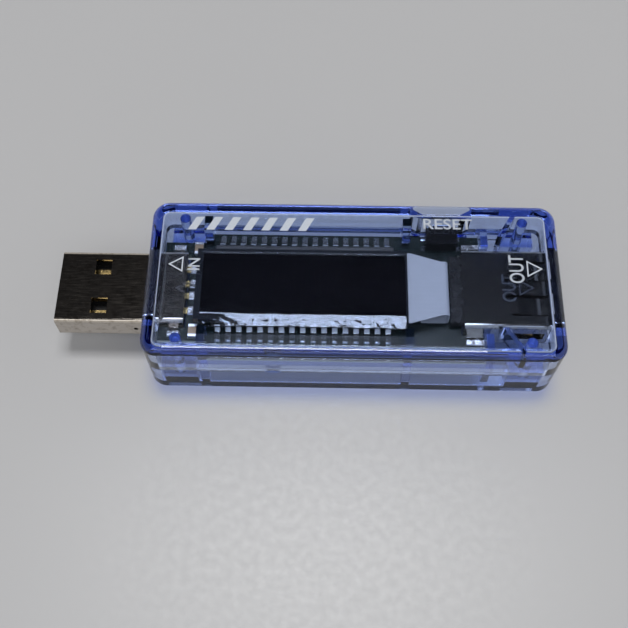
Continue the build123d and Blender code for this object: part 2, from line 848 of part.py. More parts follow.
def chip_parts(places, length, width, height, cap, low):
    """Ceramic chip parts that lie along Y at some places: their bodies and their end caps."""
    with BuildPart() as bodies:
        with BuildSketch(Plane.XY.offset(low)):
            with Locations(*places):
                Rectangle(width, length - 2 * cap)
        extrude(amount=height)
    with BuildPart() as caps:
        with BuildSketch(Plane.XY.offset(low)):
            with Locations(*places):
                with GridLocations(0, length - cap, 1, 2):
                    Rectangle(width, cap)
        extrude(amount=height)
    return bodies.part, caps.part


shunt_body, shunt_caps = chip_parts([(middle + shunt_offset, 0)], shunt_length, shunt_width,
                                    shunt_height, shunt_cap, board_level - shunt_height)
save(shunt_body, "shunt_resistor")
save(shunt_caps, "shunt_terminals")

resistor_places = [(regulator_x + (i - 1) * chip_part_pitch, 0) for i in range(3)]
edge_row_y = board_width / 2 - chip_part_edge_gap
resistor_places += [(memory_x + (i - 1) * chip_part_pitch, -edge_row_y) for i in range(4)]
resistor_bodies, resistor_caps = chip_parts(resistor_places, chip_part_length, chip_part_width,
                                            resistor_height, chip_part_cap,
                                            board_level - resistor_height)
save(resistor_bodies, "resistor_bodies")
save(resistor_caps, "resistor_caps")

capacitor_places = [(regulator_x + side * chip_part_pitch * 2, regulator_y) for side in (-1, 1)]
capacitor_places += [(memory_x + (i - 1) * chip_part_pitch, edge_row_y) for i in range(3)]
capacitor_bodies, capacitor_caps = chip_parts(capacitor_places, chip_part_length, chip_part_width,
                                              capacitor_height, chip_part_cap,
                                              board_level - capacitor_height)
save(capacitor_bodies, "capacitor_bodies")
save(capacitor_caps, "capacitor_caps")

input_places = [(board_left + chip_part_width, side * input_part_y) for side in (-1, 1)]
input_bodies, input_caps = chip_parts(input_places, chip_part_length, chip_part_width,
                                      capacitor_height, chip_part_cap, board_top)
save(input_bodies, "input_capacitors")
save(input_caps, "input_capacitor_caps")


# ---- Solder that holds the connectors to the board ----
def solder_joints(contacts, pad_x, shell_part, tab_x, tab_length, tab_y):
    """Solder over the feet of four contacts and along the two tabs of a connector's shell."""
    with BuildPart() as joints:
        for place in pin_places:
            add(centred_block(pad_x, place, pin_foot, pin_width + 2 * solder_margin,
                              (board_top, board_top + solder_height)))
        for side in (-1, 1):
            add(centred_block(tab_x, side * tab_y, tab_length + 2 * solder_margin, solder_bead,
                              (board_top, board_top + solder_height)))
        chamfer(joints.faces().group_by(Axis.Z)[-1].edges(), solder_bevel)
        for contact in contacts:
            add(contact, mode=Mode.SUBTRACT)
        add(shell_part, mode=Mode.SUBTRACT)
    return joints.part


plug_pad_x = board_left + pin_foot / 2 + solder_margin
plug_bead_y = plug_width / 2 + plug_tab_reach
save(solder_joints(plug_contacts, plug_pad_x, plug_shell.part, plug_tab_x, plug_tab_length, plug_bead_y),
     "plug_solder_joints")
socket_pad_x = notch_left - pin_foot / 2 - solder_margin
socket_bead_y = socket_width / 2 + socket_tab_reach
save(solder_joints(socket_contacts, socket_pad_x, socket_shell.part, socket_tab_x, socket_tab_length,
                   socket_bead_y), "socket_solder_joints")
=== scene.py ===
import json
import math

import bmesh
import bpy
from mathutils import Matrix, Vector, noise


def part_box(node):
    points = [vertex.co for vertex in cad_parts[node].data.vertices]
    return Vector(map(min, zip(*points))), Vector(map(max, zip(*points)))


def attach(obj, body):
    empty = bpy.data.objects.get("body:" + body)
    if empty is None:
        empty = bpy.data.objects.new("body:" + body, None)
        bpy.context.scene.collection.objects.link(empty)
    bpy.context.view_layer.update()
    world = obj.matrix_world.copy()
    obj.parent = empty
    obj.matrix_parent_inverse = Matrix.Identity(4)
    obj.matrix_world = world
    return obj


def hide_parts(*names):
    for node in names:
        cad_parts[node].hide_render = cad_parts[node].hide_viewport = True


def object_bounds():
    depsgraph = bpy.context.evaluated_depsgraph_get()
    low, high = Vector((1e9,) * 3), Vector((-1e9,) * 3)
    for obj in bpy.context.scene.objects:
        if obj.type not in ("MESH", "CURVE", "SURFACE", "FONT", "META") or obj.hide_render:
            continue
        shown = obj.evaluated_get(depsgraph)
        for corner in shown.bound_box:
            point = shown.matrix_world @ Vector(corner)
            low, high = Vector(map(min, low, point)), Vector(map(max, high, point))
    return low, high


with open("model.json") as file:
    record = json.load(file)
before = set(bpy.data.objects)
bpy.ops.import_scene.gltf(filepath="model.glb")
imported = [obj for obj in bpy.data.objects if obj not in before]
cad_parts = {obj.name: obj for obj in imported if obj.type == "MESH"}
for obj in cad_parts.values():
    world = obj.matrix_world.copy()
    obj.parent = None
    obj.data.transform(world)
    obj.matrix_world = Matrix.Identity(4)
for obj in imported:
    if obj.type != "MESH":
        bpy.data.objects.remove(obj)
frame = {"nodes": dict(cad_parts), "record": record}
cad_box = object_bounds()

MM = 0.001
METER = "meter"


# ---------------------------------------------------------------- places taken from the CAD frame

case_low, case_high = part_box("top_cover")
board_low, board_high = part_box("circuit_board")
leads_low, leads_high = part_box("controller_leads")
polariser_low, polariser_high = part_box("display_polariser")
socket_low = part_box("socket_shell")[0]
switch_low, switch_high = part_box("reset_switch_frame")
case_top = case_high.z
lead_count = 17
lead_width = 0.8 * MM


# ---------------------------------------------------------------- camera

camera_stand = Vector((2.78, -65.41, 133.68)) * MM
camera_aim = Vector((1.06, 0.12, 0.0)) * MM
camera_roll = math.radians(-0.47)
camera_lens = 53.7
camera_sensor = 36.0


def add_camera():
    """The camera on the near side, about 64 degrees above the table."""
    data = bpy.data.cameras.new("camera")
    data.lens = camera_lens
    data.sensor_width = camera_sensor
    data.clip_start = 5 * MM
    data.clip_end = 10.0
    camera = bpy.data.objects.new("camera", data)
    bpy.context.scene.collection.objects.link(camera)
    turn = (camera_aim - camera_stand).to_track_quat("-Z", "Y").to_matrix().to_4x4()
    roll = turn @ turn.Rotation(camera_roll, 4, "Z")
    camera.location = camera_stand
    camera.rotation_euler = roll.to_euler()
    bpy.context.scene.camera = camera


# ---------------------------------------------------------------- node helpers


def new_material(name):
    """A new node material, its tree and its Principled shader."""
    made = bpy.data.materials.new(name)
    made.use_nodes = True
    tree = made.node_tree
    return made, tree, tree.nodes["Principled BSDF"]


def coordinates(tree, stretch=(1, 1, 1)):
    """Object coordinates, stretched so that a texture runs along an axis."""
    source = tree.nodes.new("ShaderNodeTexCoord")
    mapping = tree.nodes.new("ShaderNodeMapping")
    mapping.inputs["Scale"].default_value = stretch
    tree.links.new(source.outputs["Object"], mapping.inputs["Vector"])
    return mapping.outputs["Vector"]


def grain(tree, size, detail=4.0, stretch=(1, 1, 1)):
    """Noise with features about size metres across."""
    node = tree.nodes.new("ShaderNodeTexNoise")
    node.inputs["Scale"].default_value = 1 / size
    node.inputs["Detail"].default_value = detail
    tree.links.new(coordinates(tree, stretch), node.inputs["Vector"])
    return node.outputs["Fac"]


def spots(tree, size):
    """Distance to scattered points about size metres apart."""
    node = tree.nodes.new("ShaderNodeTexVoronoi")
    node.inputs["Scale"].default_value = 1 / size
    tree.links.new(coordinates(tree), node.inputs["Vector"])
    return node.outputs["Distance"]


def remap(tree, value, source, target):
    """value moved from the range source to the range target."""
    node = tree.nodes.new("ShaderNodeMapRange")
    node.inputs["From Min"].default_value = source[0]
    node.inputs["From Max"].default_value = source[1]
    node.inputs["To Min"].default_value = target[0]
    node.inputs["To Max"].default_value = target[1]
    tree.links.new(value, node.inputs["Value"])
    return node.outputs["Result"]


def blend_colours(tree, factor, first, second):
    """first where factor is 0, second where it is 1. Either may be a colour or an output."""
    node = tree.nodes.new("ShaderNodeMix")
    node.data_type = "RGBA"
    tree.links.new(factor, node.inputs["Factor"])
    for socket, colour in ((node.inputs[6], first), (node.inputs[7], second)):
        if isinstance(colour, tuple):
            socket.default_value = (*colour, 1.0)
        else:
            tree.links.new(colour, socket)
    return node.outputs[2]


def scaled(tree, value, factor):
    """value times the number factor."""
    node = tree.nodes.new("ShaderNodeMath")
    node.operation = "MULTIPLY"
    tree.links.new(value, node.inputs[0])
    node.inputs[1].default_value = factor
    return node.outputs["Value"]


def add_bump(tree, shader, height, depth):
    """Relief of depth metres from a height between 0 and 1."""
    node = tree.nodes.new("ShaderNodeBump")
    node.inputs["Distance"].default_value = depth
    tree.links.new(height, node.inputs["Height"])
    tree.links.new(node.outputs["Normal"], shader.inputs["Normal"])


def feed(tree, value, shader, name):
    """Links value to the shader's socket called name."""
    tree.links.new(value, shader.inputs[name])


def facing_up(tree, limit=0.5):
    """1 on faces that look up or down, 0 on upright ones."""
    source = tree.nodes.new("ShaderNodeTexCoord")
    parts = tree.nodes.new("ShaderNodeSeparateXYZ")
    size = tree.nodes.new("ShaderNodeMath")
    size.operation = "ABSOLUTE"
    step = tree.nodes.new("ShaderNodeMath")
    step.operation = "GREATER_THAN"
    step.inputs[1].default_value = limit
    tree.links.new(source.outputs["Normal"], parts.inputs["Vector"])
    tree.links.new(parts.outputs["Z"], size.inputs[0])
    tree.links.new(size.outputs["Value"], step.inputs[0])
    return step.outputs["Value"]


# ---------------------------------------------------------------- materials


def let_light_through(tree, shader, colour):
    """Lamps and bounced light pass the clear shader straight, so that they reach what is behind it."""
    path = tree.nodes.new("ShaderNodeLightPath")
    either = tree.nodes.new("ShaderNodeMath")
    either.operation = "MAXIMUM"
    tree.links.new(path.outputs["Is Shadow Ray"], either.inputs[0])
    tree.links.new(path.outputs["Is Diffuse Ray"], either.inputs[1])
    straight = tree.nodes.new("ShaderNodeBsdfTransparent")
    straight.inputs["Color"].default_value = (*colour, 1.0)
    mix = tree.nodes.new("ShaderNodeMixShader")
    tree.links.new(either.outputs["Value"], mix.inputs[0])
    tree.links.new(shader.outputs["BSDF"], mix.inputs[1])
    tree.links.new(straight.outputs["BSDF"], mix.inputs[2])
    output = tree.nodes["Material Output"]
    tree.links.new(mix.outputs["Shader"], output.inputs["Surface"])
    return output


def clear_blue_plastic():
    """Polished clear moulding, coloured through its depth: pale across a wall, navy along one."""
    made, tree, shader = new_material("clear_blue_plastic")
    shader.inputs["Base Color"].default_value = (0.85, 0.91, 1.0, 1.0)
    shader.inputs["Transmission Weight"].default_value = 1.0
    shader.inputs["IOR"].default_value = 1.49
    smudge = grain(tree, 5 * MM, detail=6.0)
    feed(tree, remap(tree, smudge, (0.35, 0.7), (0.0, 0.03)), shader, "Roughness")
    add_bump(tree, shader, grain(tree, 3 * MM, detail=2.0), 0.006 * MM)
    output = let_light_through(tree, shader, (0.95, 0.965, 0.985))
    body = tree.nodes.new("ShaderNodeVolumeAbsorption")
    body.inputs["Color"].default_value = (0.10, 0.32, 0.92, 1.0)
    body.inputs["Density"].default_value = 115.0
    tree.links.new(body.outputs["Volume"], output.inputs["Volume"])
    return made


def clear_film():
    """Thin clear protective film, with faint scuffs."""
    made, tree, shader = new_material("clear_film")
    shader.inputs["Transmission Weight"].default_value = 1.0
    shader.inputs["IOR"].default_value = 1.45
    scuffs = grain(tree, 0.4 * MM, detail=5.0, stretch=(0.3, 1, 1))
    feed(tree, remap(tree, scuffs, (0.4, 0.7), (0.01, 0.05)), shader, "Roughness")
    let_light_through(tree, shader, (0.96, 0.96, 0.96))
    return made


def board_laminate():
    """Near-black green solder mask on the faces, pale glass fibre on the cut edges."""
    made, tree, shader = new_material("board_laminate")
    mottle = grain(tree, 2.2 * MM)
    mask = blend_colours(tree, mottle, (0.003, 0.008, 0.008), (0.006, 0.017, 0.016))
    layers = grain(tree, 0.12 * MM, detail=3.0, stretch=(0.08, 0.08, 1))
    fibre = blend_colours(tree, layers, (0.42, 0.46, 0.38), (0.68, 0.70, 0.60))
    flat = facing_up(tree)
    feed(tree, blend_colours(tree, flat, fibre, mask), shader, "Base Color")
    feed(tree, remap(tree, flat, (0, 1), (0.55, 0.22)), shader, "Roughness")
    add_bump(tree, shader, grain(tree, 0.3 * MM), 0.008 * MM)
    return made


def nickel(name, pale, dark, roughness, wear):
    """Nickel plate drawn along X, with fine streaks and dark specks where it is worn."""
    made, tree, shader = new_material(name)
    shader.inputs["Metallic"].default_value = 1.0
    streaks = grain(tree, 0.25 * MM, detail=5.0, stretch=(0.12, 1, 1))
    specks = remap(tree, grain(tree, 0.7 * MM, detail=6.0), (0.5, 0.72), (0.0, wear))
    colour = blend_colours(tree, streaks, tuple(0.86 * c for c in pale), pale)
    feed(tree, blend_colours(tree, specks, colour, dark), shader, "Base Color")
    low, high = roughness
    feed(tree, remap(tree, streaks, (0.3, 0.7), (low, high)), shader, "Roughness")
    add_bump(tree, shader, streaks, 0.002 * MM)
    return made


def bright_metal(name, pale, dark, roughness, size, relief):
    """Bare soft metal with a slightly uneven, cloudy skin."""
    made, tree, shader = new_material(name)
    shader.inputs["Metallic"].default_value = 1.0
    cloud = grain(tree, size)
    feed(tree, blend_colours(tree, cloud, dark, pale), shader, "Base Color")
    low, high = roughness
    feed(tree, remap(tree, cloud, (0.3, 0.7), (high, low)), shader, "Roughness")
    add_bump(tree, shader, cloud, relief)
    return made


def lead_tin():
    """Bright tin, satin on the bends of a lead and smoother on its flat foot, whose colour is darkened as
    painted shade.
    """
    made, tree, shader = new_material("bright_tin")
    shader.inputs["Metallic"].default_value = 1.0
    cloud = grain(tree, 0.3 * MM)
    flat = facing_up(tree, limit=0.97)
    bend = blend_colours(tree, cloud, (0.88, 0.89, 0.90), (0.97, 0.98, 0.98))
    # Painted shade: the flat foot gets a darker colour than the bends of the same tin.
    painted_shade_foot = blend_colours(tree, cloud, (0.55, 0.56, 0.57), (0.8, 0.81, 0.82))
    feed(tree, blend_colours(tree, flat, bend, painted_shade_foot), shader, "Base Color")
    feed(tree, remap(tree, flat, (0, 1), (0.26, 0.08)), shader, "Roughness")
    add_bump(tree, shader, cloud, 0.001 * MM)
    return made


def moulded(name, colour, roughness, size, relief):
    """Moulded plastic or epoxy with a fine grain and a little change of colour."""
    made, tree, shader = new_material(name)
    fine = grain(tree, size, detail=5.0)
    cloud = grain(tree, 12 * size)
    lighter = tuple(1.5 * c + 0.003 for c in colour)
    feed(tree, blend_colours(tree, cloud, colour, lighter), shader, "Base Color")
    low, high = roughness
    feed(tree, remap(tree, fine, (0.3, 0.7), (low, high)), shader, "Roughness")
    add_bump(tree, shader, fine, relief)
    return made


def display_black():
    """Switched-off display: deep black with a trace of blue, under a hard gloss."""
    made, tree, shader = new_material("display_black")
    cloud = grain(tree, 6 * MM, detail=2.0)
    colour = blend_colours(tree, cloud, (0.0025, 0.0025, 0.004), (0.0045, 0.004, 0.007))
    feed(tree, colour, shader, "Base Color")
    scuffs = grain(tree, 0.5 * MM, detail=5.0, stretch=(0.2, 1, 1))
    feed(tree, remap(tree, scuffs, (0.4, 0.7), (0.03, 0.08)), shader, "Roughness")
    return made


def flex_film():
    """Pale flexible tail, with its fine conductors showing faintly through."""
    made, tree, shader = new_material("flex_film")
    lines = tree.nodes.new("ShaderNodeTexWave")
    lines.bands_direction = "Y"
    lines.inputs["Scale"].default_value = 1 / (2.2 * MM)
    lines.inputs["Distortion"].default_value = 0.2
    tree.links.new(coordinates(tree), lines.inputs["Vector"])
    cloud = grain(tree, 1.5 * MM)
    base = blend_colours(tree, cloud, (0.45, 0.465, 0.495), (0.53, 0.545, 0.575))
    faint = scaled(tree, lines.outputs["Fac"], 0.08)
    feed(tree, blend_colours(tree, faint, base, (0.34, 0.36, 0.42)), shader, "Base Color")
    feed(tree, remap(tree, cloud, (0.3, 0.7), (0.35, 0.5)), shader, "Roughness")
    add_bump(tree, shader, lines.outputs["Fac"], 0.002 * MM)
    return made


def foam_tape():
    """Dark open foam."""
    made, tree, shader = new_material("foam_tape")
    cells = spots(tree, 0.12 * MM)
    feed(tree, blend_colours(tree, cells, (0.02, 0.02, 0.02), (0.09, 0.09, 0.09)), shader, "Base Color")
    shader.inputs["Roughness"].default_value = 0.9
    add_bump(tree, shader, cells, 0.05 * MM)
    return made


def printed_ink():
    """Pale screen-printed ink, thin in places."""
    made, tree, shader = new_material("printed_ink")
    thin = grain(tree, 0.12 * MM, detail=5.0)
    feed(tree, blend_colours(tree, thin, (0.55, 0.57, 0.62), (0.80, 0.81, 0.83)), shader, "Base Color")
    feed(tree, remap(tree, thin, (0.3, 0.7), (0.45, 0.65)), shader, "Roughness")
    add_bump(tree, shader, thin, 0.003 * MM)
    return made


def table_paint():
    """Pale table with a low sheen."""
    made, tree, shader = new_material("table_paint")
    cloud = grain(tree, 60 * MM, detail=3.0)
    feed(tree, blend_colours(tree, cloud, (0.535, 0.535, 0.545), (0.565, 0.565, 0.575)), shader, "Base Color")
    fine = grain(tree, 1.2 * MM, detail=3.0)
    feed(tree, remap(tree, fine, (0.3, 0.7), (0.34, 0.42)), shader, "Roughness")
    add_bump(tree, shader, fine, 0.003 * MM)
    return made


# ---------------------------------------------------------------- meshes


def piece_from(name, shape, material):
    """A piece made from a bmesh. It rides on the meter's body."""
    data = bpy.data.meshes.new(name)
    bmesh.ops.recalc_face_normals(shape, faces=shape.faces)
    shape.to_mesh(data)
    shape.free()
    data.materials.append(material)
    made = bpy.data.objects.new(name, data)
    bpy.context.scene.collection.objects.link(made)
    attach(made, METER)
    return made


def add_plate(shape, outline, low, high):
    """A flat plate with the given outline between two heights."""
    bottom = [shape.verts.new((x, y, low)) for x, y in outline]
    top = [shape.verts.new((x, y, high)) for x, y in outline]
    shape.faces.new(list(reversed(bottom)))
    shape.faces.new(top)
    count = len(outline)
    for i in range(count):
        j = (i + 1) % count
        shape.faces.new((bottom[i], bottom[j], top[j], top[i]))


# ---------------------------------------------------------------- printed marks

mark_depth = 0.012 * MM
mark_thickness = 0.008 * MM
mark_top = case_top - mark_depth
mark_bottom = mark_top - mark_thickness


def printed_word(name, text, middle, height, length, turned, ink):
    """A short word as thin ink, height tall and length long, centred on middle."""
    curve = bpy.data.curves.new(name, "FONT")
    curve.body = text
    curve.resolution_u = 6
    curve.offset = 0.012
    source = bpy.data.objects.new(name, curve)
    bpy.context.scene.collection.objects.link(source)
    bpy.context.view_layer.update()
    flat = bpy.data.meshes.new_from_object(source)
    bpy.data.objects.remove(source)
    shape = bmesh.new()
    shape.from_mesh(flat)
    low_x = min(v.co.x for v in shape.verts)
    high_x = max(v.co.x for v in shape.verts)
    low_y = min(v.co.y for v in shape.verts)
    high_y = max(v.co.y for v in shape.verts)
    for v in shape.verts:
        along = ((v.co.x - low_x) / (high_x - low_x) - 0.5) * length
        up = ((v.co.y - low_y) / (high_y - low_y) - 0.5) * height
        x, y = (-up, along) if turned else (along, up)
        v.co = (middle[0] + x, middle[1] + y, mark_bottom)
    bmesh.ops.remove_doubles(shape, verts=shape.verts, dist=0.001 * MM)
    raised = bmesh.ops.extrude_face_region(shape, geom=list(shape.faces))
    for item in raised["geom"]:
        if isinstance(item, bmesh.types.BMVert):
            item.co.z = mark_top
    return piece_from(name, shape, ink)


def printed_arrow(name, tip, base_middle, half_base, line, ink):
    """A hollow triangle that points from base_middle to tip."""
    along = Vector(tip) - Vector(base_middle)
    across = Vector((-along.y, along.x)).normalized() * half_base
    outer = [Vector(tip), Vector(base_middle) + across, Vector(base_middle) - across]
    centre = (outer[0] + outer[1] + outer[2]) / 3
    inradius = half_base * along.length / (half_base + math.hypot(half_base, along.length))
    inner = [centre + (corner - centre) * (1 - line / inradius) for corner in outer]
    shape = bmesh.new()
    for i in range(3):
        j = (i + 1) % 3
        add_plate(shape, [outer[i], outer[j], inner[j], inner[i]], mark_bottom, mark_top)
    bmesh.ops.remove_doubles(shape, verts=shape.verts, dist=0.001 * MM)
    return piece_from(name, shape, ink)


def printed_bars(ink):
    """A row of slanted bars, a plain decoration along the back edge."""
    bar_count = 7
    first_x = case_low.x + 5.6 * MM
    last_x = case_low.x + 24.9 * MM
    low_y = case_high.y - 5.15 * MM
    high_y = case_high.y - 2.9 * MM
    slant = 1.2 * MM
    pitch = (last_x - first_x) / bar_count
    width = 0.45 * pitch
    shape = bmesh.new()
    for i in range(bar_count):
        x = first_x + i * pitch
        outline = [(x, low_y), (x + width, low_y), (x + width + slant, high_y), (x + slant, high_y)]
        add_plate(shape, outline, mark_bottom, mark_top)
    return piece_from("printed_bars", shape, ink)


def add_printed_marks():
    """The flow marks and the button's label on the cover."""
    ink = printed_ink()
    word_in_x = case_low.x + 6.97 * MM
    printed_word("printed_in", "IN", (word_in_x, 1.65 * MM), 1.75 * MM, 2.0 * MM, True, ink)
    in_base = word_in_x - 1.6 * MM
    in_tip = word_in_x - 3.8 * MM
    printed_arrow("printed_in_arrow", (in_tip, 1.63 * MM), (in_base, 1.63 * MM), 1.33 * MM, 0.2 * MM, ink)
    word_out_x = case_high.x - 6.6 * MM
    printed_word("printed_out", "OUT", (word_out_x, 1.63 * MM), 2.2 * MM, 4.7 * MM, True, ink)
    out_base = word_out_x + 1.55 * MM
    out_tip = word_out_x + 3.9 * MM
    printed_arrow("printed_out_arrow", (out_tip, 1.68 * MM), (out_base, 1.68 * MM), 1.38 * MM, 0.2 * MM, ink)
    label_x = (switch_low.x + switch_high.x) / 2 + 0.55 * MM
    label_y = case_high.y - 3.6 * MM
    printed_word("printed_reset", "RESET", (label_x, label_y), 1.85 * MM, 7.35 * MM, False, ink)
    printed_bars(ink)


# ---------------------------------------------------------------- clear film on the display


film_thickness = 0.05 * MM
film_clearance = 0.03 * MM
film_side_overhang = 0.15 * MM
film_far_overhang = 0.4 * MM
film_near_overhang = 2.1 * MM
film_droop = math.tan(math.radians(7.0))
film_ripple = 0.012 * MM
film_crease = 0.05 * MM
film_columns = 160
film_rows = 66


def film_height(x, y):
    """Height of the film's underside: flat on the display, drooping and creased past its near edge."""
    rest = polariser_high.z + film_clearance
    ripple = film_ripple * noise.noise(Vector((x, y, 0.0)) / (3.5 * MM))
    past = max(0.0, polariser_low.y - y)
    left_end = max(0.0, polariser_low.x + 6 * MM - x)
    slope = film_droop + 0.03 * left_end / MM
    broad = noise.noise(Vector((x / 1.1, y / 0.9, 3 * MM)) / MM)
    fine = noise.noise(Vector((x, y, 9 * MM)) / (0.45 * MM))
    lift = min(past / (1.2 * MM), 1.0)
    return rest + ripple - slope * past + film_crease * (broad + 0.5 * fine) * lift


def add_film():
    """The protective film, a thin closed sheet that replaces the plain CAD film."""
    columns, rows = film_columns, film_rows
    west = polariser_low.x - film_side_overhang
    east = polariser_high.x + film_side_overhang
    north = polariser_high.y + film_far_overhang
    south = polariser_low.y - film_near_overhang
    shape = bmesh.new()
    sheets = []
    for lift in (0.0, film_thickness):
        sheet = []
        for j in range(rows + 1):
            row = []
            for i in range(columns + 1):
                x = west + (east - west) * i / columns
                edge = 0.12 * MM * noise.noise(Vector((x, 0.0, 5 * MM)) / (2 * MM))
                y = north + (south + edge - north) * j / rows
                row.append(shape.verts.new((x, y, film_height(x, y) + lift)))
            sheet.append(row)
        sheets.append(sheet)
    for sheet in sheets:
        for j in range(rows):
            for i in range(columns):
                shape.faces.new((sheet[j][i], sheet[j + 1][i], sheet[j + 1][i + 1], sheet[j][i + 1]))
    lower, upper = sheets
    rim = [(0, i) for i in range(columns)]
    rim += [(j, columns) for j in range(rows)]
    rim += [(rows, i) for i in range(columns, 0, -1)]
    rim += [(j, 0) for j in range(rows, 0, -1)]
    for k, (j, i) in enumerate(rim):
        next_j, next_i = rim[(k + 1) % len(rim)]
        shape.faces.new((lower[j][i], lower[next_j][next_i], upper[next_j][next_i], upper[j][i]))
    film = piece_from("creased_film", shape, clear_film())
    for face in film.data.polygons:
        face.use_smooth = True
    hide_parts("display_film")


# ---------------------------------------------------------------- details on the board

mound_half_length = 0.5 * MM
mound_under_foot = 1.2 * MM
mound_past_foot = 0.35 * MM
mound_edge_gap = 0.1 * MM
mound_rise = 0.13 * MM
mask_rise = 0.03 * MM
track_width = 0.35 * MM
signal_width = 0.25 * MM
power_width = 0.9 * MM
signal_count = 6
via_hole = 0.12 * MM
via_ring = 0.24 * MM
via_steps = 12


def via_inset(k):
    """How far the k-th via lies from the board's long edge. They alternate between two rows."""
    return (0.35 + 0.3 * (k % 2)) * MM


def add_mound(shape, centre, half_length, half_width, rise):
    """A low rounded mound of solder on a face that looks up."""
    steps = 6
    grid = []
    for j in range(steps + 1):
        row = []
        for i in range(steps + 1):
            u = 2 * i / steps - 1
            v = 2 * j / steps - 1
            full = (1 - u ** 4) * (1 - v ** 4)
            place = (centre[0] + u * half_length, centre[1] + v * half_width, centre[2] + rise * full)
            row.append(shape.verts.new(place))
        grid.append(row)
    for j in range(steps):
        for i in range(steps):
            shape.faces.new((grid[j][i], grid[j][i + 1], grid[j + 1][i + 1], grid[j + 1][i]))
    rim = [grid[0][i] for i in range(steps)]
    rim += [grid[j][steps] for j in range(steps)]
    rim += [grid[steps][i] for i in range(steps, 0, -1)]
    rim += [grid[j][0] for j in range(steps, 0, -1)]
    shape.faces.new(rim)


def lead_centres():
    """The places along X of the controller's leads."""
    first = leads_low.x + lead_width / 2
    pitch = (leads_high.x - leads_low.x - lead_width) / (lead_count - 1)
    return [first + i * pitch for i in range(lead_count)]


def add_lead_solder():
    """A mound of solder round the foot of each controller lead, coloured darker than the other solder as
    painted shade.
    """
    shape = bmesh.new()
    for x in lead_centres():
        for tip_y, side in ((leads_low.y, -1), (leads_high.y, 1)):
            inner_y = tip_y - side * mound_under_foot
            outer_y = min(abs(tip_y) + mound_past_foot, board_high.y - mound_edge_gap) * side
            centre = (x, (inner_y + outer_y) / 2, board_high.z)
            add_mound(shape, centre, mound_half_length, abs(outer_y - inner_y) / 2, mound_rise)
    # Painted shade: this solder's colour is darker than the other solder, for the dark round the lead feet.
    finish = bright_metal(
        "painted_shade_solder", (0.6, 0.61, 0.62), (0.42, 0.42, 0.44), (0.06, 0.12), 0.5 * MM, 0.004 * MM
    )
    solder = piece_from("painted_shade_solder", shape, finish)
    for face in solder.data.polygons:
        face.use_smooth = True


def trace_finish():
    """Copper under the solder mask: the mask's colour, a little lighter and raised."""
    return moulded("masked_copper", (0.010, 0.030, 0.026), (0.18, 0.3), 0.2 * MM, 0.003 * MM)


def add_route(shape, points, width, level):
    """A masked track along points, each run a plate with its ends widened to join the next."""
    for (x1, y1), (x2, y2) in zip(points, points[1:]):
        run = Vector((x2 - x1, y2 - y1))
        along = run.normalized() * width / 2
        across = Vector((-along.y, along.x))
        start = Vector((x1, y1)) - along
        end = Vector((x2, y2)) + along
        outline = [start - across, end - across, end + across, start + across]
        add_plate(shape, outline, level, level + mask_rise)


def add_top_tracks():
    """Short tracks from the lead feet out towards the board's long edges."""
    shape = bmesh.new()
    for k, x in enumerate(lead_centres()):
        for tip_y, side in ((leads_low.y, -1), (leads_high.y, 1)):
            end_y = side * (board_high.y - via_inset(k))
            if abs(end_y) > abs(tip_y) + 0.1 * MM:
                add_route(shape, [(x, tip_y), (x, end_y)], track_width, board_high.z)
    piece_from("top_tracks", shape, trace_finish())


def add_under_tracks():
    """A fan of signal tracks under the board, and a wide power track along each long edge."""
    shape = bmesh.new()
    level = board_low.z - mask_rise
    jog = 1.2 * MM
    for k in range(signal_count):
        y = board_low.y + (1.0 + 0.6 * k) * MM
        start_x = leads_low.x + (1.0 + 1.4 * k) * MM
        end_x = leads_high.x - (6.5 - 0.9 * k) * MM
        points = [(start_x, y), (end_x - jog, y), (end_x, y + jog), (end_x, y + 3 * jog)]
        add_route(shape, points, signal_width, level)
    for side in (-1, 1):
        edge_y = side * (board_high.y - power_width)
        points = [(board_low.x + 7.2 * MM, edge_y), (socket_low.x - 1.5 * MM, edge_y)]
        add_route(shape, points, power_width, level)
    piece_from("under_tracks", shape, trace_finish())


def add_circle(shape, x, y, z, radius):
    """The corners of one circle of a via's ring."""
    turns = [2 * math.pi * i / via_steps for i in range(via_steps)]
    return [shape.verts.new((x + radius * math.cos(t), y + radius * math.sin(t), z)) for t in turns]


def add_vias():
    """Small tinned rings where tracks pass through the board, on both faces."""
    shape = bmesh.new()
    for k, x in enumerate(lead_centres()):
        y = -(board_high.y - via_inset(k))
        for level, rise in ((board_high.z, mask_rise), (board_low.z, -mask_rise)):
            inner_low = add_circle(shape, x, y, level, via_hole)
            inner_high = add_circle(shape, x, y, level + rise, via_hole)
            outer_low = add_circle(shape, x, y, level, via_ring)
            outer_high = add_circle(shape, x, y, level + rise, via_ring)
            circles = (inner_low, inner_high, outer_high, outer_low)
            for a, b in zip(circles, circles[1:] + circles[:1]):
                for i in range(via_steps):
                    j = (i + 1) % via_steps
                    shape.faces.new((a[i], a[j], b[j], b[i]))
    finish = bright_metal("via_tin", (0.82, 0.80, 0.74), (0.6, 0.58, 0.52), (0.2, 0.35), 0.3 * MM, 0.002 * MM)
    piece_from("vias", shape, finish)


# ---------------------------------------------------------------- lights, floor, world

lamp_distance = 1.2
# Azimuth from the far side and elevation in degrees, power in watts, length and width in metres.
lamps = {
    "key": (0.0, 80.0, 5.8, 0.46, 0.26),
    "fill": (180.0, 58.0, 3.6, 1.2, 0.7),
}
table_radius = 4.0
table_gap = 0.01 * MM


def add_lights():
    """A soft lamp nearly overhead, a little beyond the meter, and a broad weak one on the near side."""
    for name, (azimuth, elevation, power, length, width) in lamps.items():
        data = bpy.data.lights.new(name, "AREA")
        data.shape = "RECTANGLE"
        data.size = length
        data.size_y = width
        data.energy = power
        lamp = bpy.data.objects.new(name, data)
        turn, rise = math.radians(azimuth), math.radians(elevation)
        aim = Vector((math.sin(turn) * math.cos(rise), math.cos(turn) * math.cos(rise), math.sin(rise)))
        lamp.location = aim * lamp_distance
        lamp.rotation_euler = (-aim).to_track_quat("-Z", "Y").to_euler()
        bpy.context.scene.collection.objects.link(lamp)


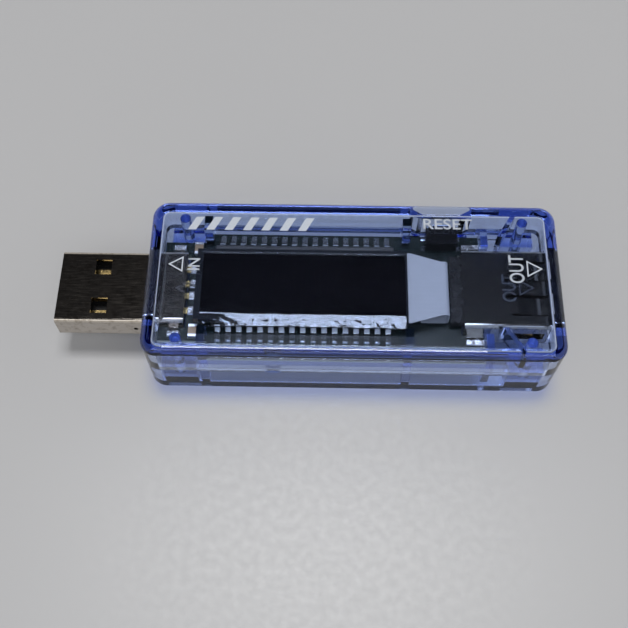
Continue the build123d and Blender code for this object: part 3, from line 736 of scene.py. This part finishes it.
def add_world():
    """A plain room: pale at the horizon, dim overhead."""
    world = bpy.data.worlds.new("room")
    world.use_nodes = True
    tree = world.node_tree
    source = tree.nodes.new("ShaderNodeTexCoord")
    parts = tree.nodes.new("ShaderNodeSeparateXYZ")
    ramp = tree.nodes.new("ShaderNodeValToRGB")
    tree.links.new(source.outputs["Generated"], parts.inputs["Vector"])
    tree.links.new(parts.outputs["Z"], ramp.inputs["Fac"])
    stops = ramp.color_ramp.elements
    stops[0].position, stops[0].color = 0.42, (0.7, 0.7, 0.69, 1)
    stops[1].position, stops[1].color = 0.76, (0.016, 0.016, 0.018, 1)
    tree.links.new(ramp.outputs["Color"], tree.nodes["Background"].inputs["Color"])
    bpy.context.scene.world = world


def add_floor():
    """A large round table top, a hair below the meter's base."""
    shape = bmesh.new()
    bmesh.ops.create_circle(shape, cap_ends=True, radius=table_radius, segments=96)
    data = bpy.data.meshes.new("table_top")
    shape.to_mesh(data)
    shape.free()
    data.materials.append(table_paint())
    table = bpy.data.objects.new("table_top", data)
    table.location.z = cad_box[0].z - table_gap
    bpy.context.scene.collection.objects.link(table)


# ---------------------------------------------------------------- finishes of the CAD parts


def finish_parts():
    """Gives every CAD part its material, by the record's slot or by its own name."""
    steel_worn = nickel("plug_nickel", (0.56, 0.51, 0.45), (0.22, 0.18, 0.14), (0.07, 0.13), 0.6)
    steel_clean = nickel("socket_nickel", (0.42, 0.41, 0.39), (0.3, 0.29, 0.27), (0.06, 0.1), 0.3)
    by_node = {"plug_shell": steel_worn}
    by_slot = {
        "clear_blue_plastic": clear_blue_plastic(),
        "board_green": board_laminate(),
        "plated_steel": steel_clean,
        "gold_contact": bright_metal(
            "gold_flash", (0.95, 0.75, 0.36), (0.78, 0.56, 0.24), (0.15, 0.3), 0.4 * MM, 0.002 * MM
        ),
        "black_plastic": moulded("black_moulding", (0.01, 0.01, 0.011), (0.16, 0.26), 0.08 * MM, 0.004 * MM),
        "chip_black": moulded("chip_epoxy", (0.018, 0.018, 0.02), (0.45, 0.6), 0.06 * MM, 0.008 * MM),
        "tinned_lead": lead_tin(),
        "solder": bright_metal(
            "solder", (0.88, 0.88, 0.9), (0.6, 0.6, 0.62), (0.12, 0.3), 0.8 * MM, 0.03 * MM
        ),
        "display_glass": moulded("dark_glass", (0.020, 0.022, 0.026), (0.03, 0.08), 0.8 * MM, 0.0005 * MM),
        "display_black": display_black(),
        "foam_tape": foam_tape(),
        "flex_film": flex_film(),
        "button_plastic": moulded("button_moulding", (0.02, 0.02, 0.022), (0.35, 0.5), 0.1 * MM, 0.004 * MM),
        "black_steel": moulded("black_coating", (0.006, 0.006, 0.007), (0.12, 0.2), 0.1 * MM, 0.003 * MM),
        "spring_steel": bright_metal(
            "spring_steel", (0.72, 0.71, 0.69), (0.55, 0.54, 0.52), (0.15, 0.25), 0.2 * MM, 0.001 * MM
        ),
        "resistor_black": moulded("resistor_glaze", (0.012, 0.012, 0.014), (0.2, 0.35), 0.1 * MM, 0.004 * MM),
        "capacitor_tan": moulded("capacitor_ceramic", (0.36, 0.25, 0.15), (0.4, 0.55), 0.07 * MM, 0.006 * MM),
        "tinned_cap": bright_metal(
            "dull_tin", (0.8, 0.8, 0.81), (0.62, 0.62, 0.63), (0.25, 0.45), 0.15 * MM, 0.008 * MM
        ),
    }
    slots = {part["node"]: part["material_slot"] for part in frame["record"]["subparts"]}
    for name, node in frame["nodes"].items():
        if slots[name] in by_slot:
            finish = by_node.get(name, by_slot[slots[name]])
            for material_slot in node.material_slots:
                material_slot.material = finish


add_camera()
add_world()
add_lights()
add_floor()
finish_parts()
add_printed_marks()
add_film()
add_lead_solder()
add_top_tracks()
add_under_tracks()
add_vias()

bpy.context.scene.view_settings.view_transform = "Standard"
